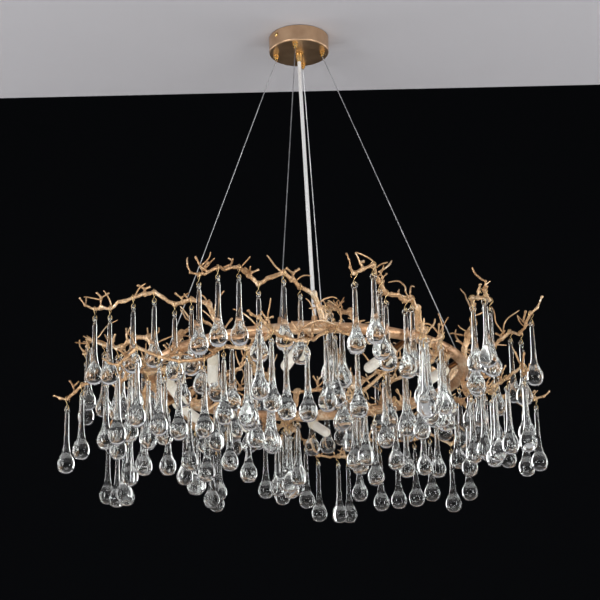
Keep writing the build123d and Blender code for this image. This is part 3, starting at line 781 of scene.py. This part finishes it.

# %% [markdown]
# The chandelier hangs over a pale floor and under a pale board, with a near-black backdrop far
# behind it: painted shade for the dark behind the chandelier. Board and backdrop are seen from the
# object's side only, so that other views aren't blocked: the other side is transparent. Big soft
# lamps stand round the object, and the world adds a plain fill light. The camera and the rays that
# pass through glass meet the backdrop, or else a world painted just as dark, which draws the bright
# rims.

# %% Floor, board, dark backdrop and light
floor_height, floor_half = -2.2, 6
shade_backdrop_back, shade_backdrop_top, shade_backdrop_half = 2.4, 2.2, 4
board_height, board_front, board_back, board_half = 0.001, -2.2, 0.21, 2
sheet_dullness = 0.9


def stage_sheet(name, corners, colour, one_sided):
    """Flat matt stage sheet through four corners, clear from behind if it is one-sided."""
    bm = bmesh.new()
    bm.faces.new([bm.verts.new(corner) for corner in corners])
    mesh = bpy.data.meshes.new(name)
    bm.to_mesh(mesh)
    bm.free()
    material, tree, shader = new_material(name)
    shader.inputs["Base Color"].default_value = linear(colour)
    shader.inputs["Roughness"].default_value = sheet_dullness
    shader.inputs["Specular IOR Level"].default_value = 0.0
    if one_sided:
        back = add(tree, "ShaderNodeNewGeometry").outputs["Backfacing"]
        clear = add(tree, "ShaderNodeBsdfTransparent").outputs["BSDF"]
        mix = add(tree, "ShaderNodeMixShader", {0: back, 1: shader.outputs["BSDF"], 2: clear})
        tree.links.new(mix.outputs["Shader"], tree.nodes["Material Output"].inputs["Surface"])
    mesh.materials.append(material)
    sheet = bpy.data.objects.new(name, mesh)
    bpy.context.collection.objects.link(sheet)


stage_sheet(
    "floor",
    [
        (-floor_half, -floor_half, floor_height), (floor_half, -floor_half, floor_height),
        (floor_half, floor_half, floor_height), (-floor_half, floor_half, floor_height),
    ],
    "#D8D6D2", False,
)
# Near-black backdrop far behind: painted shade for the dark behind the chandelier.
stage_sheet(
    "shade_backdrop",
    [
        (-shade_backdrop_half, shade_backdrop_back, floor_height), (shade_backdrop_half, shade_backdrop_back, floor_height),
        (shade_backdrop_half, shade_backdrop_back, shade_backdrop_top), (-shade_backdrop_half, shade_backdrop_back, shade_backdrop_top),
    ],
    "#0B0C0E", True,
)
stage_sheet(
    "ceiling_board",
    [
        (-board_half, board_back, board_height), (board_half, board_back, board_height),
        (board_half, board_front, board_height), (-board_half, board_front, board_height),
    ],
    "#C2C1C6", True,
)
lamp_target = Vector((0, 0, -0.62))


def soft_lamp(name, place, width, height, power):
    """Large area lamp turned to the middle of the drops."""
    data = bpy.data.lights.new(name, "AREA")
    data.shape = "RECTANGLE"
    data.size = width
    data.size_y = height
    data.energy = power
    lamp = bpy.data.objects.new(name, data)
    bpy.context.collection.objects.link(lamp)
    lamp.location = place
    lamp.rotation_euler = (lamp_target - Vector(place)).to_track_quat("-Z", "Y").to_euler()
    lamp.visible_camera = False


soft_lamp("front_left", (-1.9, -2.0, -0.4), width=0.9, height=1.5, power=44)
soft_lamp("front_right", (2.0, -1.8, -0.6), width=0.8, height=1.5, power=34)
soft_lamp("side_left", (-2.2, 0.7, -0.6), width=0.8, height=1.8, power=18)
soft_lamp("side_right", (2.2, 0.8, -0.6), width=0.8, height=1.8, power=18)
soft_lamp("below", (0, -0.8, -2.1), width=1.6, height=1.2, power=14)

# The dark colour that camera rays and rays through glass see is painted shade; the fill colour
# lights the scene.
fill_colour, painted_shade_colour, fill_strength = "#A8A8AA", "#0C0D0F", 0.55
world = bpy.data.worlds.new("studio")
world.use_nodes = True
bpy.context.scene.world = world
sky = world.node_tree
path = add(sky, "ShaderNodeLightPath")
seen = add(
    sky, "ShaderNodeMath",
    {0: path.outputs["Is Camera Ray"], 1: path.outputs["Is Transmission Ray"]},
    operation="MAXIMUM",
)
colour = add(
    sky, "ShaderNodeMix",
    {"Factor": seen.outputs[0], 6: linear(fill_colour), 7: linear(painted_shade_colour)}, data_type="RGBA",
)
sky.links.new(colour.outputs[2], sky.nodes["Background"].inputs["Color"])
sky.nodes["Background"].inputs["Strength"].default_value = fill_strength
print("stage ready")
